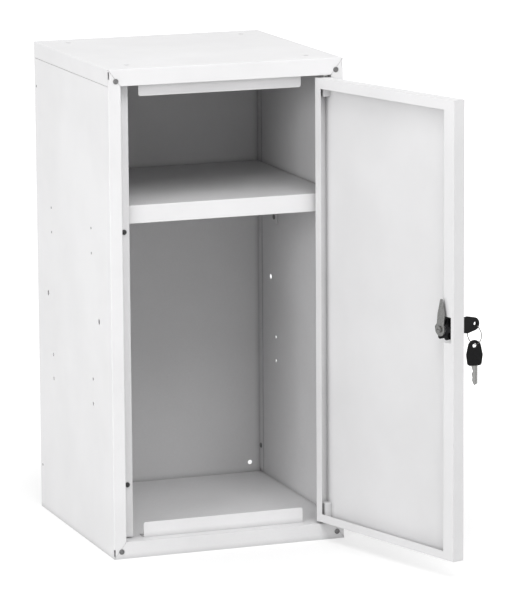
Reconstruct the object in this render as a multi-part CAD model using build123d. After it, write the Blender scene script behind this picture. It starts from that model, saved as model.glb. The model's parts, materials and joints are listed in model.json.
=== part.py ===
from build123d import *
import math
import os

# Steel storage locker: one tall box with a shelf, and a door hinged on its right that stands open.
# X runs to the right, Y to the back and Z up. The origin is in the middle of the base, on the floor.

# Whole unit
width = 300.0
depth = 300.0
height = 600.0
sheet = 1.0
overrun = 4.0                   # how far every cutting tool runs past the metal

# Frame round the door opening
rail_height = 20.5              # top and bottom rail, and the cap's skirt all round
stile_width = 15.5
seam = 0.4                      # open seam at the mitres and under the cap's skirt
bend_radius = 0.9               # outside of the folded edges
fold_setback = 5.0              # hidden folds start this far behind the front
slit_height = 9.0
slit_inset = 3.0                # from the top and from the bottom
slit_width = 1.6                # on the front
slit_reach = 2.6                # round the side
door_gap = 3.0
door_thickness = 16.0
stop_gap = 1.2                  # from the back of the closed door to its stops
hem_height = 10.0               # upturned hem on the cap's return
stile_hem = 5.0                 # outward hem on the right stile's return

# Side and back panels
rear_flange_width = 12.0
back_flange_depth = 14.0
back_clearance = 0.2
back_flange_inset = 24.0        # from the top and from the bottom
back_rivet_height = 56.0        # from the bottom, and as much from the top
back_rivet_inset = 9.0          # from the back
wall_hole_radius = 3.0
wall_hole_side_inset = 15.4
wall_hole_end_inset = 33.0
join_hole_radius = 3.5
join_hole_height = 286.0
join_hole_front_inset = 48.0
join_hole_back_inset = 45.0

# Stop lip down the left stile
lip_reach = 14.5
lip_end_inset = 2.0

# Stacking: holes through the cap, rivet nuts in the feet
stack_inset = 35.0
stack_hole_radius = 3.5
foot_width = 45.0
fold_relief = 1.0
nut_thread_radius = 3.0
nut_body_radius = 4.5
nut_collar_radius = 6.0
nut_collar_height = 2.0
nut_length = 12.0

# Rivets
rivet_head_radius = 3.25
rivet_head_height = 1.2
rivet_dome_radius = 1.0
rivet_shank_radius = 1.6
rivet_tail_radius = 2.4
rivet_tail_height = 1.6
rivet_clearance = 0.1
corner_plate_thickness = 1.5
corner_plate_clearance = 0.5
corner_rivet_side_inset = 9.5
corner_rivet_top_inset = 14.5
corner_rivet_height = 9.0       # of the bottom corners' rivets

# Shelf and its brackets
shelf_top = 431.5
shelf_flange_height = 22.0
shelf_front_inset = 19.0
shelf_clearance = 1.5
bracket_thickness = 1.5
bracket_width = 20.0
bracket_ledge = 10.0
bracket_height = 51.0
bracket_corner_radius = 3.0
bracket_front_inset = 75.0
bracket_back_inset = 63.0
bracket_rivet_drop = 12.0       # from the ledge down to the upper rivet
bracket_rivet_pitch = 31.0
spare_hole_height = 179.0       # lower spare hole of a second shelf
spare_hole_radius = 2.25

# Door stops and rubber buffers
stop_left_gap = 13.5            # from the free edge of the left lip
stop_right_gap = 33.0           # from the inner edge of the right stile
upper_stop_height = 25.0
upper_stop_drop = 15.5          # how far the strip hangs below the top rail
lower_stop_height = 18.5
lower_stop_depth = 15.0
stop_corner_radius = 3.0
stop_rivet_inset = 25.0         # from the end of the stop
buffer_clearance = 0.2
buffer_radius = 3.0
buffer_stem_radius = 1.5
buffer_button_height = 1.4
buffer_low_height = 88.0
buffer_high_height = 400.0
buffer_edge_inset = 6.8         # from the edge of the stop lip

# Door
door_hinge_lip = 10.0
door_free_lip = 19.0
door_top_lip = 13.0
door_bottom_lip = 10.0
open_angle = 107.0
hinge_edge_inset = 4.0          # pin axis from the door's edge
hinge_front_inset = 4.6         # pin axis behind the front
pin_radius = 2.25
pin_length = 29.0
pin_fixed_length = 20.0         # inside the door's block
pin_running_clearance = 0.06
block_size = 10.0
block_height = 22.0
bush_wall = 0.65
bush_hole_clearance = 0.04
bush_flange_radius = 4.2
upper_bush_flange = 0.8
bush_snap_lip = 0.5
bush_snap_height = 1.0
thrust_clearance = 0.1

# Lock
lock_edge_inset = 21.0
lock_height = 303.0
lock_body_radius = 8.0
lock_body_length = 18.5
lock_hole_clearance = 0.1
bezel_radius = 13.5
bezel_height = 5.0
bezel_edge_radius = 1.8
plug_radius = 6.5
plug_clearance = 0.05
plug_recess = 0.5
plug_square = 6.0
plug_square_clearance = 0.05
washer_radius = 13.0
washer_thickness = 0.8
lock_nut_radius = 11.0          # between the grip lobes
lock_nut_lobe_radius = 3.2
lock_nut_lobe_reach = 14.5      # from the axis to the end of a lobe
lock_nut_lobe_count = 6
lock_nut_height = 13.5
nut_notch_clearance = 1.0
cam_gap = 0.2
cam_thickness = 1.5
cam_boss_radius = 8.3
cam_neck_radius = 6.0
cam_leaf_radius = 6.4           # widest part of the leaf
cam_leaf_reach = 17.0           # from the axis to that part
cam_leaf_offset = 2.3           # of that part, towards the door's free edge
cam_tip_radius = 2.0
cam_tip_offset = 2.5
cam_reach = 36.5
screw_head_radius = 3.8
screw_head_height = 2.2
screw_radius = 1.5
screw_depth = 2.4
screw_slot_width = 1.0
screw_slot_depth = 1.0

# Keys and ring
key_blade_length = 24.0
key_blade_height = 7.5
key_blade_thickness = 1.8
key_blade_clearance = 0.15
key_groove_width = 1.2
key_groove_depth = 0.4
key_groove_drop = 1.25          # from the middle of the blade to the middle of the groove
key_tip_length = 2.5
key_cut_depth = 2.2
key_cut_depth_shares = (0.45, 1.0, 0.25, 0.75, 0.5)
key_tang_length = 8.0
key_tang_clearance = 0.05
key_bow_gap = 4.0               # from the bezel to the bow
bow_length = 31.0
bow_width = 20.5                # at its widest
bow_widest_reach = 13.0         # from the shoulder to there
bow_shoulder_width = 18.0
bow_thickness = 3.5
bow_end_radius = 8.0
bow_side_radius = 4.5
bow_corner_radius = 3.5
bow_edge_radius = 0.7
bow_hole_radius = 2.8
bow_hole_inset = 6.5            # from the bow's end
ring_radius = 11.5
ring_wire_radius = 0.6
ring_clearance = 0.5
ring_turn = 6.0                 # turn about the vertical from the plane of the door
spare_drop = 1.5                # from the ring's wire down to the middle of the spare's hole
spare_turn = -20.0

# Places that follow from the sizes
half_width = width / 2
half_depth = depth / 2
front = -half_depth
back = half_depth
opening_bottom = rail_height
opening_top = height - rail_height
return_end = front + door_thickness + stop_gap + sheet
stop_front = front + door_thickness + stop_gap
skirt_bottom = opening_top
cap_underside = height - sheet
shelf_underside = shelf_top - shelf_flange_height
bracket_columns = (front + bracket_front_inset, back - bracket_back_inset)
upper_rivet_height = shelf_underside - bracket_rivet_drop
lower_rivet_height = upper_rivet_height - bracket_rivet_pitch
spare_hole_heights = (spare_hole_height, spare_hole_height + bracket_rivet_pitch)
rivet_hole_radius = rivet_shank_radius + rivet_clearance
door_half_width = half_width - stile_width - door_gap
door_bottom = opening_bottom + door_gap
door_top = opening_top - door_gap
door_back = front + door_thickness
hinge_x = door_half_width - hinge_edge_inset
hinge_y = front + hinge_front_inset
lock_x = -door_half_width + lock_edge_inset
lock_rear = front + lock_body_length
cam_front = lock_rear + cam_gap
cam_rear = cam_front + cam_thickness


def block(x_span, y_span, z_span):
    """Box between two places on each axis."""
    spans = (x_span, y_span, z_span)
    low = [min(span) for span in spans]
    size = [max(span) - min(span) for span in spans]
    return Pos(*low) * Box(*size, align=(Align.MIN, Align.MIN, Align.MIN))


def front_plate(points, y_span):
    """Plate with an outline of X and Z points, between two places on Y."""
    outline = make_face(Plane.XZ.offset(-max(y_span)) * Polyline(*points, close=True))
    return extrude(outline, max(y_span) - min(y_span), dir=(0, -1, 0))


def rod(radius, start, end):
    """Round bar from one point to another."""
    run = Vector(*end) - Vector(*start)
    bar = Cylinder(radius, run.length, align=(Align.CENTER, Align.CENTER, Align.MIN))
    return Plane(origin=start, z_dir=run) * bar


def side_span(side, inset, outset):
    """Two places on X, each measured inwards from the outer face of one side."""
    return (side * (half_width - inset), side * (half_width - outset))


def rivet(seat, outward, grip, tail=True):
    """Domed rivet with its head on a seat, pointing outwards."""
    head = Cylinder(rivet_head_radius, rivet_head_height, align=(Align.CENTER, Align.CENTER, Align.MIN))
    head = fillet(head.edges().sort_by(Axis.Z)[-1], rivet_dome_radius)
    body = head + rod(rivet_shank_radius, (0, 0, 0), (0, 0, -grip))
    if tail:
        body += rod(rivet_tail_radius, (0, 0, -grip), (0, 0, -grip - rivet_tail_height))
    return Plane(origin=seat, z_dir=outward) * body


def corner_slits():
    """Slits at the four front corners of the box."""
    slits = []
    for side in (-1, 1):
        for low in (slit_inset, height - slit_inset - slit_height):
            slits.append(block(side_span(side, -overrun, slit_width), (front - overrun, front + slit_reach),
                               (low, low + slit_height)))
    return slits


def corner_places():
    """Rivet places at the four mitres, as X and Z."""
    reach = half_width - corner_rivet_side_inset
    heights = (corner_rivet_height, height - corner_rivet_top_inset)
    return [(side * reach, z) for z in heights for side in (-1, 1)]


def corner_rivet_holes():
    """Holes for the rivets on the mitres, through the frame and the plates behind it."""
    far = front + sheet + corner_plate_thickness + overrun
    return [rod(rivet_hole_radius, (x, front - overrun, z), (x, far, z)) for x, z in corner_places()]


def stack_places():
    """Places on X and Y of the four stacking bolts."""
    reach_x = half_width - stack_inset
    reach_y = half_depth - stack_inset
    return [(side * reach_x, end * reach_y) for end in (-1, 1) for side in (-1, 1)]


def edges_near(solid, axis, places):
    """Edges along one axis whose middle lies at any of the places, given on the other two axes."""
    found = []
    for edge in solid.edges().filter_by(axis):
        middle = edge.center()
        for place in places:
            off = [abs(have - want) for have, want in zip((middle.X, middle.Y, middle.Z), place)
                   if want is not None]
            if max(off) < sheet / 2:
                found.append(edge)
                break
    return ShapeList(found)


# Top cap: plate with a skirt, and a front rail that folds in and up again
cap = block((-half_width, half_width), (front, back), (skirt_bottom, height))
cap = fillet(cap.faces().sort_by(Axis.Z)[-1].edges(), bend_radius)
cap -= block((-half_width + sheet, half_width - sheet), (front + sheet, back - sheet),
             (skirt_bottom - overrun, cap_underside))
mitre_slope = rail_height / stile_width
for side in (-1, 1):
    outside = side * (half_width + overrun)
    corner = side * (half_width - stile_width)
    cap -= front_plate([(corner, skirt_bottom - overrun), (corner, opening_top),
                        (outside, height + overrun * mitre_slope), (outside, skirt_bottom - overrun)],
                       (front - overrun, front + sheet))
return_half = half_width - stile_width
hem_front = stop_front - sheet
cap += block((-return_half, return_half), (front, stop_front), (opening_top, opening_top + sheet))
cap += block((-return_half, return_half), (hem_front, stop_front), (opening_top, opening_top + hem_height))

# Base tray: floor with flanges down, and feet that fold in under it
tray = block((-half_width + sheet, half_width - sheet), (front + sheet, back - 2 * sheet),
             (opening_bottom - sheet, opening_bottom))
tray += front_plate([(-return_half, opening_bottom), (return_half, opening_bottom),
                     (half_width, 0), (-half_width, 0)], (front, front + sheet))
tray += block((-half_width + sheet, half_width - sheet), (back - 3 * sheet, back - 2 * sheet),
              (0, opening_bottom))
for side in (-1, 1):
    tray += block(side_span(side, sheet, 2 * sheet), (front + fold_setback, back - 2 * sheet),
                  (0, opening_bottom))
    tray += block(side_span(side, sheet, foot_width), (front + fold_setback, back - 3 * sheet - fold_relief),
                  (0, sheet))

# Side panels: wall, stile with a return behind it, flange at the back, joggled edge inside the cap's skirt
side_panels = {}
for side, name in ((-1, "left_side_panel"), (1, "right_side_panel")):
    wall_top = skirt_bottom - seam
    outer, inner = side_span(side, 0, stile_width)
    stile = front_plate([(outer, seam), (inner, opening_bottom + seam), (inner, opening_top - seam),
                         (outer, height - seam)], (front, front + sheet))
    rear_flange = block(side_span(side, 0, rear_flange_width), (back - sheet, back), (0, wall_top))
    panel = block(side_span(side, 0, sheet), (front + sheet, back - sheet), (0, wall_top))
    panel += fillet(edges_near(stile, Axis.Z, [(outer, front, None)]), bend_radius)
    panel += fillet(edges_near(rear_flange, Axis.Z, [(outer, back, None)]), bend_radius)
    panel += block(side_span(side, sheet, 2 * sheet), (front + fold_setback, back - 2 * sheet),
                   (wall_top - sheet, cap_underside))
    panel += block(side_span(side, stile_width - sheet, stile_width), (front + sheet, return_end),
                   (opening_bottom + seam, opening_top - seam))
    if side < 0:
        edge_span = side_span(side, stile_width - sheet, stile_width + lip_reach)
    else:
        edge_span = side_span(side, stile_width - sheet - stile_hem, stile_width)
    panel += block(edge_span, (stop_front, return_end),
                   (opening_bottom + lip_end_inset, opening_top - lip_end_inset))
    reach = (side * (half_width + overrun), side * (half_width - sheet - overrun))
    cuts = []
    for y in bracket_columns:
        for z in (upper_rivet_height, lower_rivet_height):
            cuts.append(rod(rivet_hole_radius, (reach[0], y, z), (reach[1], y, z)))
        for z in spare_hole_heights:
            cuts.append(rod(spare_hole_radius, (reach[0], y, z), (reach[1], y, z)))
    for y in (front + join_hole_front_inset, back - join_hole_back_inset):
        cuts.append(rod(join_hole_radius, (reach[0], y, join_hole_height), (reach[1], y, join_hole_height)))
    for z in (back_rivet_height, height - back_rivet_height):
        cuts.append(rod(rivet_hole_radius, (reach[0], back - back_rivet_inset, z),
                        (reach[1], back - back_rivet_inset, z)))
    panel -= cuts
    side_panels[name] = panel

# Back panel: plate between the side panels, with flanges forward along their walls
back_half = half_width - sheet - back_clearance
back_flange_inner = back_half - sheet
back_plate_front = back - 2 * sheet
back_panel = block((-back_half, back_half), (back_plate_front, back - sheet), (0, cap_underside))
for side in (-1, 1):
    back_panel += block((side * back_half, side * back_flange_inner),
                        (back - sheet - back_flange_depth, back - sheet),
                        (back_flange_inset, height - back_flange_inset))
    for z in (wall_hole_end_inset, height - wall_hole_end_inset):
        x = side * (half_width - wall_hole_side_inset)
        back_panel -= rod(wall_hole_radius, (x, back_plate_front - overrun, z), (x, back + overrun, z))
    for z in (back_rivet_height, height - back_rivet_height):
        y = back - back_rivet_inset
        far = side * (half_width - 2 * sheet - overrun)
        back_panel -= rod(rivet_hole_radius, (side * half_width, y, z), (far, y, z))

# Frame corners: slits, and a plate riveted behind each mitre
slits = corner_slits()
rivet_holes = corner_rivet_holes()
cap -= slits + rivet_holes
tray -= slits + rivet_holes
for name in side_panels:
    side_panels[name] -= slits + rivet_holes
corner_plates = []
plate_low = sheet + corner_plate_clearance
plate_high = rail_height - sheet - corner_plate_clearance
for side in (-1, 1):
    for low, high in ((plate_low, plate_high), (height - plate_high, height - plate_low)):
        corner_plates.append(block(
            side_span(side, 2 * sheet + corner_plate_clearance, stile_width - sheet - corner_plate_clearance),
            (front + sheet, front + sheet + corner_plate_thickness), (low, high)))
corner_plates = [plate - rivet_holes for plate in corner_plates]
corner_rivets = [rivet((x, front, z), (0, -1, 0), sheet + corner_plate_thickness) for x, z in corner_places()]
back_rivets = [rivet((side * back_flange_inner, back - back_rivet_inset, z), (-side, 0, 0),
                     half_width - back_flange_inner, tail=False)
               for side in (-1, 1) for z in (back_rivet_height, height - back_rivet_height)]

# Stacking holes in the cap and rivet nuts in the feet
stacking_nuts = []
for x, y in stack_places():
    cap -= rod(stack_hole_radius, (x, y, cap_underside - overrun), (x, y, height + overrun))
    tray -= rod(nut_body_radius, (x, y, -overrun), (x, y, sheet + overrun))
    nut = rod(nut_body_radius, (x, y, 0), (x, y, nut_length))
    nut += rod(nut_collar_radius, (x, y, sheet), (x, y, sheet + nut_collar_height))
    stacking_nuts.append(nut - rod(nut_thread_radius, (x, y, -overrun), (x, y, nut_length + overrun)))

# Shelf: pan turned down on all four sides, on the ledges of four riveted brackets
shelf_half = half_width - sheet - shelf_clearance
shelf_span = (front + shelf_front_inset, back_plate_front - shelf_clearance)
shelf = block((-shelf_half, shelf_half), shelf_span, (shelf_underside, shelf_top))
shelf = fillet(edges_near(shelf, Axis.X, [(None, shelf_span[0], shelf_top)]), bend_radius)
shelf -= block((-shelf_half + sheet, shelf_half - sheet), (shelf_span[0] + sheet, shelf_span[1] - sheet),
               (shelf_underside - overrun, shelf_top - sheet))
brackets = {}
bracket_rivets = []
for side, side_name in ((-1, "left"), (1, "right")):
    for y, end_name in zip(bracket_columns, ("front", "back")):
        y_span = (y - bracket_width / 2, y + bracket_width / 2)
        leg = block(side_span(side, sheet, sheet + bracket_thickness), y_span,
                    (shelf_underside - bracket_height, shelf_underside))
        low_edges = edges_near(leg, Axis.X, [(None, end, shelf_underside - bracket_height) for end in y_span])
        bracket = fillet(low_edges, bracket_corner_radius)
        bracket += block(side_span(side, sheet, sheet + bracket_ledge), y_span,
                         (shelf_underside - bracket_thickness, shelf_underside))
        seat_x = side * (half_width - sheet - bracket_thickness)
        for z in (upper_rivet_height, lower_rivet_height):
            bracket -= rod(rivet_hole_radius, (side * half_width, y, z), (seat_x - side * overrun, y, z))
            bracket_rivets.append(rivet((seat_x, y, z), (-side, 0, 0), sheet + bracket_thickness, tail=False))
        brackets[side_name + "_" + end_name + "_shelf_bracket"] = bracket

# Door stops: strip behind the cap's hem, angle on the floor
lip_edge = -half_width + stile_width + lip_reach
stop_span = (lip_edge + stop_left_gap, half_width - stile_width - stop_right_gap)
strip_low = opening_top - upper_stop_drop
upper_stop = block(stop_span, (stop_front, stop_front + sheet), (strip_low, strip_low + upper_stop_height))
upper_stop = fillet(edges_near(upper_stop, Axis.Y, [(end, None, strip_low) for end in stop_span]),
                    stop_corner_radius)
lower_stop_top = opening_bottom + lower_stop_height
lower_stop = block(stop_span, (stop_front, stop_front + sheet), (opening_bottom, lower_stop_top))
lower_stop = fillet(edges_near(lower_stop, Axis.Y, [(end, None, lower_stop_top) for end in stop_span]),
                    stop_corner_radius)
lower_stop += block(stop_span, (stop_front, stop_front + lower_stop_depth),
                    (opening_bottom, opening_bottom + sheet))
hem_rivet_height = opening_top + hem_height / 2
floor_rivet_y = stop_front + sheet + (lower_stop_depth - sheet) / 2
stop_rivets = []
for end, inward in zip(stop_span, (1, -1)):
    x = end + inward * stop_rivet_inset
    through_hem = rod(rivet_hole_radius, (x, hem_front - overrun, hem_rivet_height),
                      (x, stop_front + overrun, hem_rivet_height))
    upper_stop -= through_hem
    cap -= through_hem
    stop_rivets.append(rivet((x, stop_front + sheet, hem_rivet_height), (0, 1, 0), 2 * sheet))
    through_floor = rod(rivet_hole_radius, (x, floor_rivet_y, opening_bottom - sheet - overrun),
                        (x, floor_rivet_y, opening_bottom + sheet + overrun))
    lower_stop -= through_floor
    tray -= through_floor
    stop_rivets.append(rivet((x, floor_rivet_y, opening_bottom + sheet), (0, 0, 1), 2 * sheet))

# Rubber buffers in the left stop lip, for the closed door to rest on
buffers = {}
buffer_x = lip_edge - buffer_edge_inset
for z, name in ((buffer_low_height, "lower_door_buffer"), (buffer_high_height, "upper_door_buffer")):
    face = stop_front - (stop_gap - buffer_clearance)
    rubber = rod(buffer_radius, (buffer_x, face, z), (buffer_x, stop_front, z))
    rubber += rod(buffer_stem_radius, (buffer_x, stop_front, z), (buffer_x, return_end, z))
    rubber += rod(buffer_radius, (buffer_x, return_end, z), (buffer_x, return_end + buffer_button_height, z))
    buffers[name] = rubber
    side_panels["left_side_panel"] -= rod(buffer_stem_radius, (buffer_x, stop_front - overrun, z),
                                          (buffer_x, return_end + overrun, z))

# Hinge bushes in the cap's return and in the floor
bush_bore_radius = pin_radius + pin_running_clearance
bush_radius = bush_bore_radius + bush_wall
bush_hole_radius = bush_radius + bush_hole_clearance


def hinge_point(z):
    """Point on the hinge axis at one height."""
    return (hinge_x, hinge_y, z)


def hinge_bush(seat, outward, flange_thickness):
    """Bush with its flange on the door's side of a sheet, and a snap lip on the other."""
    flange_end = seat + outward * flange_thickness
    far_side = seat - outward * sheet
    body = rod(bush_flange_radius, hinge_point(seat), hinge_point(flange_end))
    body += rod(bush_radius, hinge_point(seat), hinge_point(far_side))
    body += rod(bush_radius + bush_snap_lip, hinge_point(far_side),
                hinge_point(far_side - outward * bush_snap_height))
    return body - rod(bush_bore_radius, hinge_point(flange_end + outward * overrun),
                      hinge_point(far_side - outward * overrun))


upper_bush = hinge_bush(opening_top, -1, upper_bush_flange)
lower_bush = hinge_bush(opening_bottom, 1, door_gap - thrust_clearance)
cap -= rod(bush_hole_radius, hinge_point(opening_top - overrun), hinge_point(opening_top + overrun))
tray -= rod(bush_hole_radius, hinge_point(opening_bottom - overrun), hinge_point(opening_bottom + overrun))

# Door, drawn closed: tray with lips all round, notched at the lock
door_inside = front + sheet
lip_front = door_back - sheet
door = block((-door_half_width, door_half_width), (front, door_back), (door_bottom, door_top))
door = fillet(door.faces().sort_by(Axis.Y)[0].edges(), bend_radius)
door -= block((-door_half_width + sheet, door_half_width - sheet), (door_inside, lip_front),
              (door_bottom + sheet, door_top - sheet))
door -= block((-door_half_width + door_free_lip, door_half_width - door_hinge_lip),
              (lip_front - overrun, door_back + overrun),
              (door_bottom + door_bottom_lip, door_top - door_top_lip))
notch_half = lock_nut_lobe_reach + nut_notch_clearance
door -= block((lock_x - notch_half, lock_x + notch_half), (lip_front - overrun, door_back + overrun),
              (lock_height - notch_half, lock_height + notch_half))
door -= rod(lock_body_radius + lock_hole_clearance, (lock_x, front - overrun, lock_height),
            (lock_x, door_inside + overrun, lock_height))
hinge_parts = {}
for name, edge, inward in (("upper", door_top, -1), ("lower", door_bottom, 1)):
    inner_face = edge + inward * sheet
    pin_inner = inner_face + inward * pin_fixed_length
    pin_outer = pin_inner - inward * pin_length
    pin = rod(pin_radius, hinge_point(pin_inner), hinge_point(pin_outer))
    tool = rod(pin_radius, hinge_point(pin_inner), hinge_point(edge - inward * overrun))
    holder = block((door_half_width - sheet - block_size, door_half_width - sheet),
                   (door_inside, door_inside + block_size), (inner_face, inner_face + inward * block_height))
    hinge_parts[name + "_hinge_pin"] = pin
    hinge_parts[name + "_hinge_block"] = holder - tool
    door -= tool


def lock_point(y, z_offset=0):
    """Point over the lock's axis at one depth, with the door closed."""
    return (lock_x, y, lock_height + z_offset)


# Lock in the door, drawn with the door closed
bezel_front = front - bezel_height
bezel = rod(bezel_radius, lock_point(bezel_front), lock_point(front))
bezel = fillet(bezel.edges().sort_by(Axis.Y)[0], bezel_edge_radius)
lock_body = bezel + rod(lock_body_radius, lock_point(front), lock_point(lock_rear))
lock_body -= rod(plug_radius + plug_clearance, lock_point(bezel_front - overrun),
                 lock_point(lock_rear + overrun))
washer_end = door_inside + washer_thickness
body_tool = rod(lock_body_radius + lock_hole_clearance, lock_point(front), lock_point(lock_rear))
lock_washer = rod(washer_radius, lock_point(door_inside), lock_point(washer_end)) - body_tool
nut_end = washer_end + lock_nut_height
lock_nut = rod(lock_nut_radius, lock_point(washer_end), lock_point(nut_end))
lobe_place = lock_nut_lobe_reach - lock_nut_lobe_radius
for step in range(lock_nut_lobe_count):
    turn = 2 * math.pi * step / lock_nut_lobe_count
    lobe_x = lock_x + lobe_place * math.cos(turn)
    lobe_z = lock_height + lobe_place * math.sin(turn)
    lock_nut += rod(lock_nut_lobe_radius, (lobe_x, washer_end, lobe_z), (lobe_x, nut_end, lobe_z))
lock_nut -= body_tool

# Plug with its key slot and square end, the cam and its screw
plug_front = bezel_front + plug_recess
key_shoulder = bezel_front - key_bow_gap
key_tip = key_shoulder + key_blade_length
slot_end = key_tip + key_blade_clearance
slot_half_thickness = key_blade_thickness / 2 + key_blade_clearance
slot_half_height = key_blade_height / 2 + key_blade_clearance
plug = rod(plug_radius, lock_point(plug_front), lock_point(lock_rear))
plug += block((lock_x - plug_square / 2, lock_x + plug_square / 2), (lock_rear, cam_rear),
              (lock_height - plug_square / 2, lock_height + plug_square / 2))
plug -= block((lock_x - slot_half_thickness, lock_x + slot_half_thickness), (plug_front - overrun, slot_end),
              (lock_height - slot_half_height, lock_height + slot_half_height))
plug -= rod(screw_radius, lock_point(cam_rear + overrun), lock_point(cam_rear - screw_depth))
cam_leaf = make_hull((Circle(cam_neck_radius)
                      + Pos(-cam_leaf_offset, cam_leaf_reach) * Circle(cam_leaf_radius)
                      + Pos(-cam_tip_offset, cam_reach - cam_tip_radius) * Circle(cam_tip_radius)).edges())
cam_outline = Circle(cam_boss_radius) + cam_leaf
cam_plane = Plane(origin=lock_point(cam_rear), x_dir=(1, 0, 0), z_dir=(0, -1, 0))
cam = extrude(cam_plane * cam_outline, cam_thickness, dir=(0, -1, 0))
cam_square = plug_square / 2 + plug_square_clearance
cam -= block((lock_x - cam_square, lock_x + cam_square), (cam_front - overrun, cam_rear + overrun),
             (lock_height - cam_square, lock_height + cam_square))
cam_screw = rod(screw_head_radius, lock_point(cam_rear), lock_point(cam_rear + screw_head_height))
cam_screw += rod(screw_radius, lock_point(cam_rear - screw_depth), lock_point(cam_rear))
screw_end = cam_rear + screw_head_height
cam_screw -= block((lock_x - screw_head_radius, lock_x + screw_head_radius),
                   (screw_end - screw_slot_depth, screw_end + overrun),
                   (lock_height - screw_slot_width / 2, lock_height + screw_slot_width / 2))

# Key, drawn flat with its shoulder at zero: the bow lies towards minus X, the blade towards plus X
half_blade = key_blade_height / 2
cut_pitch = (key_blade_length - key_tip_length) / (len(key_cut_depth_shares) + 1)
cut_points = [((step + 1) * cut_pitch, half_blade - share * key_cut_depth)
              for step, share in enumerate(key_cut_depth_shares)]
blade_points = [(-key_tang_length, -half_blade), (key_blade_length - key_tip_length, -half_blade),
                (key_blade_length, 0), (key_blade_length - key_tip_length, half_blade - key_cut_depth)]
blade_points += cut_points[::-1] + [(0, half_blade), (-key_tang_length, half_blade)]
key_blade = Pos(0, 0, -key_blade_thickness / 2) * extrude(make_face(Polyline(*blade_points, close=True)),
                                                          key_blade_thickness, dir=(0, 0, 1))
groove_span = (-key_groove_drop - key_groove_width / 2, -key_groove_drop + key_groove_width / 2)
for face_side in (-1, 1):
    groove_z = (face_side * (key_blade_thickness / 2 - key_groove_depth), face_side * key_blade_thickness)
    key_blade -= block((0, key_blade_length + overrun), groove_span, groove_z)
bow_hole_x = -bow_length + bow_hole_inset
bow_outline = Pos(-bow_length + bow_end_radius, 0) * Circle(bow_end_radius)
for edge_side in (-1, 1):
    side_y = edge_side * (bow_width / 2 - bow_side_radius)
    corner_y = edge_side * (bow_shoulder_width / 2 - bow_corner_radius)
    bow_outline += Pos(-bow_widest_reach, side_y) * Circle(bow_side_radius)
    bow_outline += Pos(-bow_corner_radius, corner_y) * Circle(bow_corner_radius)
bow_outline = make_hull(bow_outline.edges())
key_bow = Pos(0, 0, -bow_thickness / 2) * extrude(bow_outline, bow_thickness, dir=(0, 0, 1))
key_bow = fillet(key_bow.faces().sort_by(Axis.Z)[-1].edges() + key_bow.faces().sort_by(Axis.Z)[0].edges(),
                 bow_edge_radius)
key_bow -= rod(bow_hole_radius, (bow_hole_x, 0, -bow_thickness), (bow_hole_x, 0, bow_thickness))
tang_half_height = half_blade + key_tang_clearance
tang_half_thickness = key_blade_thickness / 2 + key_tang_clearance
key_bow -= block((-key_tang_length - key_tang_clearance, overrun), (-tang_half_height, tang_half_height),
                 (-tang_half_thickness, tang_half_thickness))

# Key in the lock, ring through its bow, spare key hanging from the ring
key_place = Plane(origin=lock_point(key_shoulder), x_dir=(0, 1, 0), z_dir=(1, 0, 0))
ring_y = key_shoulder + bow_hole_x
ring_top = -bow_hole_radius + ring_wire_radius + ring_clearance
ring_bottom = ring_top - 2 * ring_radius
ring_direction = (math.sin(math.radians(ring_turn)), -math.cos(math.radians(ring_turn)), 0)
key_ring = Plane(origin=lock_point(ring_y, ring_top - ring_radius), z_dir=ring_direction) * Torus(
    ring_radius, ring_wire_radius)
spare_axis = (math.cos(math.radians(spare_turn)), math.sin(math.radians(spare_turn)), 0)
spare_shoulder = ring_bottom - spare_drop + bow_hole_x
spare_place = Plane(origin=lock_point(ring_y, spare_shoulder), x_dir=(0, 0, -1), z_dir=spare_axis)

# Everything on the door is turned open about the hinge axis
swing = Pos(hinge_x, hinge_y, 0) * Rot(0, 0, open_angle) * Pos(-hinge_x, -hinge_y, 0)
carcass_nodes = {
    "top_cap": cap,
    "base_tray": tray,
    "back_panel": back_panel,
    "shelf": shelf,
    "upper_door_stop": upper_stop,
    "lower_door_stop": lower_stop,
    "door_stop_rivets": Compound(stop_rivets),
    "corner_plates": Compound(corner_plates),
    "corner_rivets": Compound(corner_rivets),
    "shelf_bracket_rivets": Compound(bracket_rivets),
    "back_panel_rivets": Compound(back_rivets),
    "stacking_rivet_nuts": Compound(stacking_nuts),
    "upper_hinge_bush": upper_bush,
    "lower_hinge_bush": lower_bush,
} | side_panels | brackets | buffers
door_nodes = {
    "door_panel": door,
    "lock_body": lock_body,
    "lock_washer": lock_washer,
    "lock_nut": lock_nut,
    "lock_plug": plug,
    "lock_cam": cam,
    "cam_screw": cam_screw,
    "key_blade": key_place * key_blade,
    "key_head": key_place * key_bow,
    "key_ring": key_ring,
    "spare_key_blade": spare_place * key_blade,
    "spare_key_head": spare_place * key_bow,
} | hinge_parts

os.makedirs("parts", exist_ok=True)
for name, solid in carcass_nodes.items():
    export_step(solid, "parts/" + name + ".step")
for name, solid in door_nodes.items():
    export_step(swing * solid, "parts/" + name + ".step")
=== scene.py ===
import json
import math

import bpy
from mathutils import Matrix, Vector

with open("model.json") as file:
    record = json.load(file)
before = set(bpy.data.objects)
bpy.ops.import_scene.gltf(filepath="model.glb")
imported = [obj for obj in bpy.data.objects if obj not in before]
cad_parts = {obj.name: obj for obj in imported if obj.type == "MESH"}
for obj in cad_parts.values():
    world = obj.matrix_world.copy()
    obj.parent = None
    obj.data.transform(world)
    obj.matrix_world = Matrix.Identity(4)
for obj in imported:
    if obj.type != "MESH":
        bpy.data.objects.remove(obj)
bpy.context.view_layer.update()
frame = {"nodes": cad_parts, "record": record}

MM = 0.001
WHITE = (1, 1, 1, 1)

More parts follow.
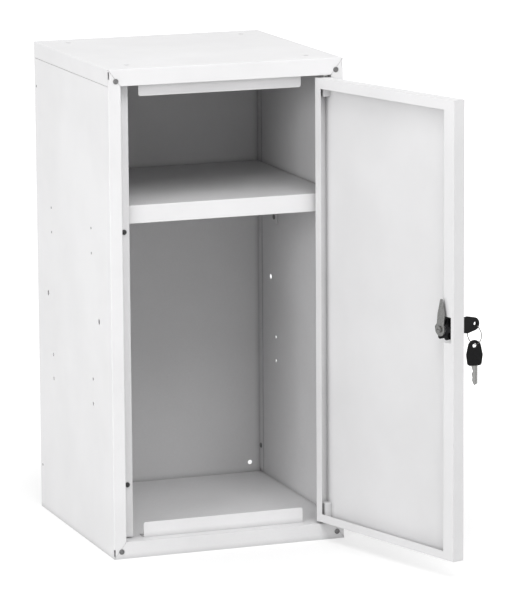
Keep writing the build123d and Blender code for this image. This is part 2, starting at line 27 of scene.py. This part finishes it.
# Powder coat: colours as linear red, green and blue, noise scales in cells per metre
PAINT_LOW = (0.775, 0.772, 0.778)
PAINT_HIGH = (0.815, 0.812, 0.819)
PAINT_TONE_SCALE = 9
PAINT_GLOSS_SCALE = 40
PAINT_ROUGHNESS = (0.48, 0.58)
PAINT_SPECULAR = 0.35
ORANGE_PEEL_SCALE = 650
ORANGE_PEEL_DEPTH = 0.02 * MM
PAINT_EDGE_RADIUS = 0.7 * MM
# Painted shade: the paint's base colour is darkened in seams and, over a longer reach, inside the
# hollow carcass
SEAM_REACH = 7 * MM
SEAM_PAINTED_SHADE = 0.55
HOLLOW_REACH = 400 * MM
HOLLOW_PAINTED_SHADE = 0.70
HOLLOW_OPEN_SHARE = 0.42

# Other finishes: colours from and to, roughness from and to, noise scale, then for metals the
# grain's stretch, and for all the depth of the relief and the radius of the edges
METALS = {
    "zinc_steel": ((0.19, 0.19, 0.185), (0.31, 0.31, 0.305), (0.28, 0.42), 900,
                   (1, 1, 1), 0.01 * MM, 0.25 * MM),
    "rivet_steel": ((0.14, 0.14, 0.14), (0.21, 0.21, 0.21), (0.32, 0.45), 1200,
                    (1, 1, 1), 0.01 * MM, 0.2 * MM),
    "lock_chrome": ((0.60, 0.60, 0.62), (0.70, 0.70, 0.72), (0.08, 0.14), 300,
                    (1, 1, 1), 0.002 * MM, 0.3 * MM),
    "lock_brass": ((0.55, 0.42, 0.22), (0.66, 0.52, 0.30), (0.22, 0.34), 700,
                   (1, 1, 6), 0.005 * MM, 0.15 * MM),
    "key_steel": ((0.20, 0.20, 0.195), (0.29, 0.29, 0.285), (0.20, 0.32), 900,
                  (1, 1, 8), 0.004 * MM, 0.15 * MM),
}
MOULDINGS = {
    "black_plastic": ((0.004, 0.004, 0.004), (0.009, 0.009, 0.010), (0.34, 0.46), 900,
                      0.02 * MM, 0.3 * MM),
    "black_nut": ((0.005, 0.005, 0.005), (0.012, 0.012, 0.013), (0.35, 0.5), 700,
                  0.02 * MM, 0.3 * MM),
    "nylon": ((0.66, 0.66, 0.64), (0.72, 0.72, 0.70), (0.42, 0.52), 800,
              0.01 * MM, 0.2 * MM),
    "rubber": ((0.05, 0.05, 0.05), (0.075, 0.075, 0.075), (0.6, 0.75), 900,
               0.02 * MM, 0.3 * MM),
}
# Painted shade: metal base colours are darkened in crevices within this reach
METAL_CREVICE_REACH = 1.5 * MM
METAL_CREVICE_PAINTED_SHADE = 0.6
MOULDED_SPECULAR = 0.12

# Detail of the noises, and the part of their range that colours and numbers follow
COARSE_DETAIL = 4
FINE_DETAIL = 3
PEEL_DETAIL = 2
RAMP_SPAN = (0.35, 0.65)
RANGE_SPAN = (0.3, 0.7)
BEVEL_SAMPLES = 6
HOLLOW_SAMPLES = 8

# Floor: it glows for the rays that see the background, less next to the object
FLOOR_SIZE = 40
FLOOR_COLOUR = (0.60, 0.60, 0.60, 1)
FLOOR_ROUGHNESS = 0.8
FLOOR_SPECULAR = 0.1
GLOW_SPAN = (0.2, 0.9)
GLOW_NEAR_AND_FAR = (0.43, 0.90)

# World: what it lights with, and what the background's rays see
SKY_LIGHT_AND_SEEN = (0.71, 1.0)

# Lamps: place, aim, size in metres and power in watts
OPEN_FRONT = (0, -0.15, 0.3)
MIDDLE = (0, 0, 0.3)
LAMPS = {
    "left_lamp": ((-2.6, -2.0, 1.0), OPEN_FRONT, 1.0, 32),
    "front_lamp": ((-0.2, -2.1, 2.9), OPEN_FRONT, 1.6, 41),
    "back_lamp": ((-2.6, 2.2, 1.6), MIDDLE, 1.4, 11),
}

# Camera, fitted to the photograph: sensor height and lens in mm, roll in degrees
SENSOR_HEIGHT = 36
LENS = 241.6
CAMERA_PLACE = (-1.6197, -4.6709, 1.2275)
CAMERA_AIM = (0.0419, -0.15, 0.3079)
CAMERA_ROLL = -0.376


def start_material(name):
    """Empty node material: returns it with its nodes, its links and its shader."""
    material = bpy.data.materials.new(name)
    material.use_nodes = True
    nodes, links = material.node_tree.nodes, material.node_tree.links
    return material, nodes, links, nodes["Principled BSDF"]


def add_noise(nodes, links, scale, detail=FINE_DETAIL, stretch=(1, 1, 1)):
    """Noise in the object's own coordinates, with scale in cells per metre."""
    place = nodes.new("ShaderNodeTexCoord")
    mapping = nodes.new("ShaderNodeMapping")
    mapping.inputs["Scale"].default_value = stretch
    noise = nodes.new("ShaderNodeTexNoise")
    noise.inputs["Scale"].default_value = scale
    noise.inputs["Detail"].default_value = detail
    links.new(place.outputs["Object"], mapping.inputs["Vector"])
    links.new(mapping.outputs["Vector"], noise.inputs["Vector"])
    return noise.outputs["Fac"]


def add_ramp(nodes, links, factor, low, high):
    """Colour that goes from low to high with the factor."""
    ramp = nodes.new("ShaderNodeValToRGB")
    for element, position, colour in zip(ramp.color_ramp.elements, RAMP_SPAN, (low, high)):
        element.position = position
        element.color = (*colour, 1)
    links.new(factor, ramp.inputs["Fac"])
    return ramp.outputs["Color"]


def add_range(nodes, links, value, source, target):
    """Number that goes through the target span as the value goes through the source span."""
    span = nodes.new("ShaderNodeMapRange")
    for socket, number in zip(("From Min", "From Max", "To Min", "To Max"), (*source, *target)):
        span.inputs[socket].default_value = number
    links.new(value, span.inputs["Value"])
    return span


def add_relief(nodes, links, shader, height, depth, edge_radius):
    """Bump of a real depth in metres, over edges that are rounded by edge_radius."""
    bump = nodes.new("ShaderNodeBump")
    bump.inputs["Distance"].default_value = depth
    links.new(height, bump.inputs["Height"])
    bevel = nodes.new("ShaderNodeBevel")
    bevel.samples = BEVEL_SAMPLES
    bevel.inputs["Radius"].default_value = edge_radius
    links.new(bevel.outputs["Normal"], bump.inputs["Normal"])
    links.new(bump.outputs["Normal"], shader.inputs["Normal"])


def add_painted_shade(nodes, links, colour, reach, dark, open_share=1.0):
    """The colour with painted shade: darkened where less than open_share of the directions is
    free within reach.
    """
    hollow = nodes.new("ShaderNodeAmbientOcclusion")
    hollow.samples = HOLLOW_SAMPLES
    hollow.inputs["Distance"].default_value = reach
    shade = add_range(nodes, links, hollow.outputs["AO"], (0, open_share), (dark, 1))
    mix = nodes.new("ShaderNodeMix")
    mix.data_type = "RGBA"
    mix.blend_type = "MULTIPLY"
    mix.inputs["Factor"].default_value = 1
    links.new(colour, mix.inputs["A"])
    links.new(shade.outputs["Result"], mix.inputs["B"])
    return mix.outputs["Result"]


def add_roughness(nodes, links, shader, grain, span):
    """Roughness that goes through its span with the grain."""
    rough = add_range(nodes, links, grain, RANGE_SPAN, span)
    links.new(rough.outputs["Result"], shader.inputs["Roughness"])


def powder_coat(name):
    """Satin white powder coat: faint orange peel, thin tone changes, and painted shade in seams
    and hollows.
    """
    material, nodes, links, shader = start_material(name)
    shader.inputs["Specular IOR Level"].default_value = PAINT_SPECULAR
    patches = add_noise(nodes, links, PAINT_TONE_SCALE, COARSE_DETAIL)
    tone = add_ramp(nodes, links, patches, PAINT_LOW, PAINT_HIGH)
    # Painted shade: the base colour is darkened in seams, then inside hollows
    seams = add_painted_shade(nodes, links, tone, SEAM_REACH, SEAM_PAINTED_SHADE)
    shaded = add_painted_shade(nodes, links, seams, HOLLOW_REACH, HOLLOW_PAINTED_SHADE, HOLLOW_OPEN_SHARE)
    links.new(shaded, shader.inputs["Base Color"])
    gloss = add_noise(nodes, links, PAINT_GLOSS_SCALE)
    add_roughness(nodes, links, shader, gloss, PAINT_ROUGHNESS)
    peel = add_noise(nodes, links, ORANGE_PEEL_SCALE, PEEL_DETAIL)
    add_relief(nodes, links, shader, peel, ORANGE_PEEL_DEPTH, PAINT_EDGE_RADIUS)
    return material


def metal(name, low, high, rough, scale, stretch, depth, edge_radius):
    """Metal with a grain: tone, roughness and fine relief follow one stretched noise, with
    painted shade in crevices.
    """
    material, nodes, links, shader = start_material(name)
    shader.inputs["Metallic"].default_value = 1
    grain = add_noise(nodes, links, scale, COARSE_DETAIL, stretch)
    tone = add_ramp(nodes, links, grain, low, high)
    # Painted shade: the base colour is darkened in crevices
    shaded = add_painted_shade(nodes, links, tone, METAL_CREVICE_REACH, METAL_CREVICE_PAINTED_SHADE)
    links.new(shaded, shader.inputs["Base Color"])
    add_roughness(nodes, links, shader, grain, rough)
    add_relief(nodes, links, shader, grain, depth, edge_radius)
    return material


def moulded(name, low, high, rough, scale, depth, edge_radius):
    """Moulded plastic or rubber with a fine even grain."""
    material, nodes, links, shader = start_material(name)
    shader.inputs["Specular IOR Level"].default_value = MOULDED_SPECULAR
    grain = add_noise(nodes, links, scale)
    links.new(add_ramp(nodes, links, grain, low, high), shader.inputs["Base Color"])
    add_roughness(nodes, links, shader, grain, rough)
    add_relief(nodes, links, shader, grain, depth, edge_radius)
    return material


def add_background_rays(nodes, links):
    """One for the rays that see the background: camera, glossy and transmission rays."""
    rays = nodes.new("ShaderNodeLightPath")
    seen = rays.outputs["Is Camera Ray"]
    for kind in ("Is Glossy Ray", "Is Transmission Ray"):
        either = nodes.new("ShaderNodeMath")
        either.operation = "MAXIMUM"
        links.new(seen, either.inputs[0])
        links.new(rays.outputs[kind], either.inputs[1])
        seen = either.outputs["Value"]
    return seen


def floor_material():
    """White studio floor that keeps the object's shadow and reads as white round it."""
    material, nodes, links, shader = start_material("studio_floor")
    shader.inputs["Base Color"].default_value = FLOOR_COLOUR
    shader.inputs["Roughness"].default_value = FLOOR_ROUGHNESS
    shader.inputs["Specular IOR Level"].default_value = FLOOR_SPECULAR
    place = nodes.new("ShaderNodeTexCoord")
    far = nodes.new("ShaderNodeVectorMath")
    far.operation = "LENGTH"
    links.new(place.outputs["Object"], far.inputs["Vector"])
    lift = add_range(nodes, links, far.outputs["Value"], GLOW_SPAN, GLOW_NEAR_AND_FAR)
    lift.interpolation_type = "SMOOTHSTEP"
    strength = nodes.new("ShaderNodeMath")
    strength.operation = "MULTIPLY"
    links.new(add_background_rays(nodes, links), strength.inputs[0])
    links.new(lift.outputs["Result"], strength.inputs[1])
    glow = nodes.new("ShaderNodeEmission")
    glow.inputs["Color"].default_value = WHITE
    links.new(strength.outputs["Value"], glow.inputs["Strength"])
    both = nodes.new("ShaderNodeAddShader")
    links.new(shader.outputs["BSDF"], both.inputs[0])
    links.new(glow.outputs["Emission"], both.inputs[1])
    links.new(both.outputs["Shader"], nodes["Material Output"].inputs["Surface"])
    return material


def add_lamp(name, place, aim, size, power):
    """Square area lamp at one point, aimed at another."""
    lamp = bpy.data.lights.new(name, "AREA")
    lamp.shape = "SQUARE"
    lamp.size = size
    lamp.energy = power
    holder = bpy.data.objects.new(name, lamp)
    bpy.context.collection.objects.link(holder)
    holder.location = place
    holder.rotation_euler = (Vector(aim) - Vector(place)).to_track_quat("-Z", "Y").to_euler()


# Finishes on the nodes, by the material slots of the record
finishes = {"white_powder_coat": powder_coat("white_powder_coat")}
for name, look in METALS.items():
    finishes[name] = metal(name, *look)
for name, look in MOULDINGS.items():
    finishes[name] = moulded(name, *look)
for part in frame["record"]["subparts"]:
    for slot in frame["nodes"][part["node"]].material_slots:
        slot.material = finishes[part["material_slot"]]

# Studio: floor, world, lamps and camera
bpy.ops.mesh.primitive_plane_add(size=FLOOR_SIZE, location=(0, 0, 0))
floor = bpy.context.object
floor.name = "studio_floor"
floor.data.materials.append(floor_material())

world = bpy.data.worlds.new("studio")
world.use_nodes = True
bpy.context.scene.world = world
sky, sky_links = world.node_tree.nodes, world.node_tree.links
sky_strength = add_range(sky, sky_links, add_background_rays(sky, sky_links),
                         (0, 1), SKY_LIGHT_AND_SEEN)
sky["Background"].inputs["Color"].default_value = WHITE
sky_links.new(sky_strength.outputs["Result"], sky["Background"].inputs["Strength"])

for name, setting in LAMPS.items():
    add_lamp(name, *setting)

camera_data = bpy.data.cameras.new("camera")
camera_data.sensor_fit = "VERTICAL"
camera_data.sensor_height = SENSOR_HEIGHT
camera_data.lens = LENS
camera = bpy.data.objects.new("camera", camera_data)
bpy.context.collection.objects.link(camera)
camera.location = CAMERA_PLACE
sight = Vector(CAMERA_AIM) - Vector(CAMERA_PLACE)
camera.rotation_euler = sight.to_track_quat("-Z", "Y").to_euler()
camera.rotation_euler.rotate_axis("Z", math.radians(CAMERA_ROLL))
bpy.context.scene.camera = camera
bpy.context.scene.view_settings.view_transform = "Standard"
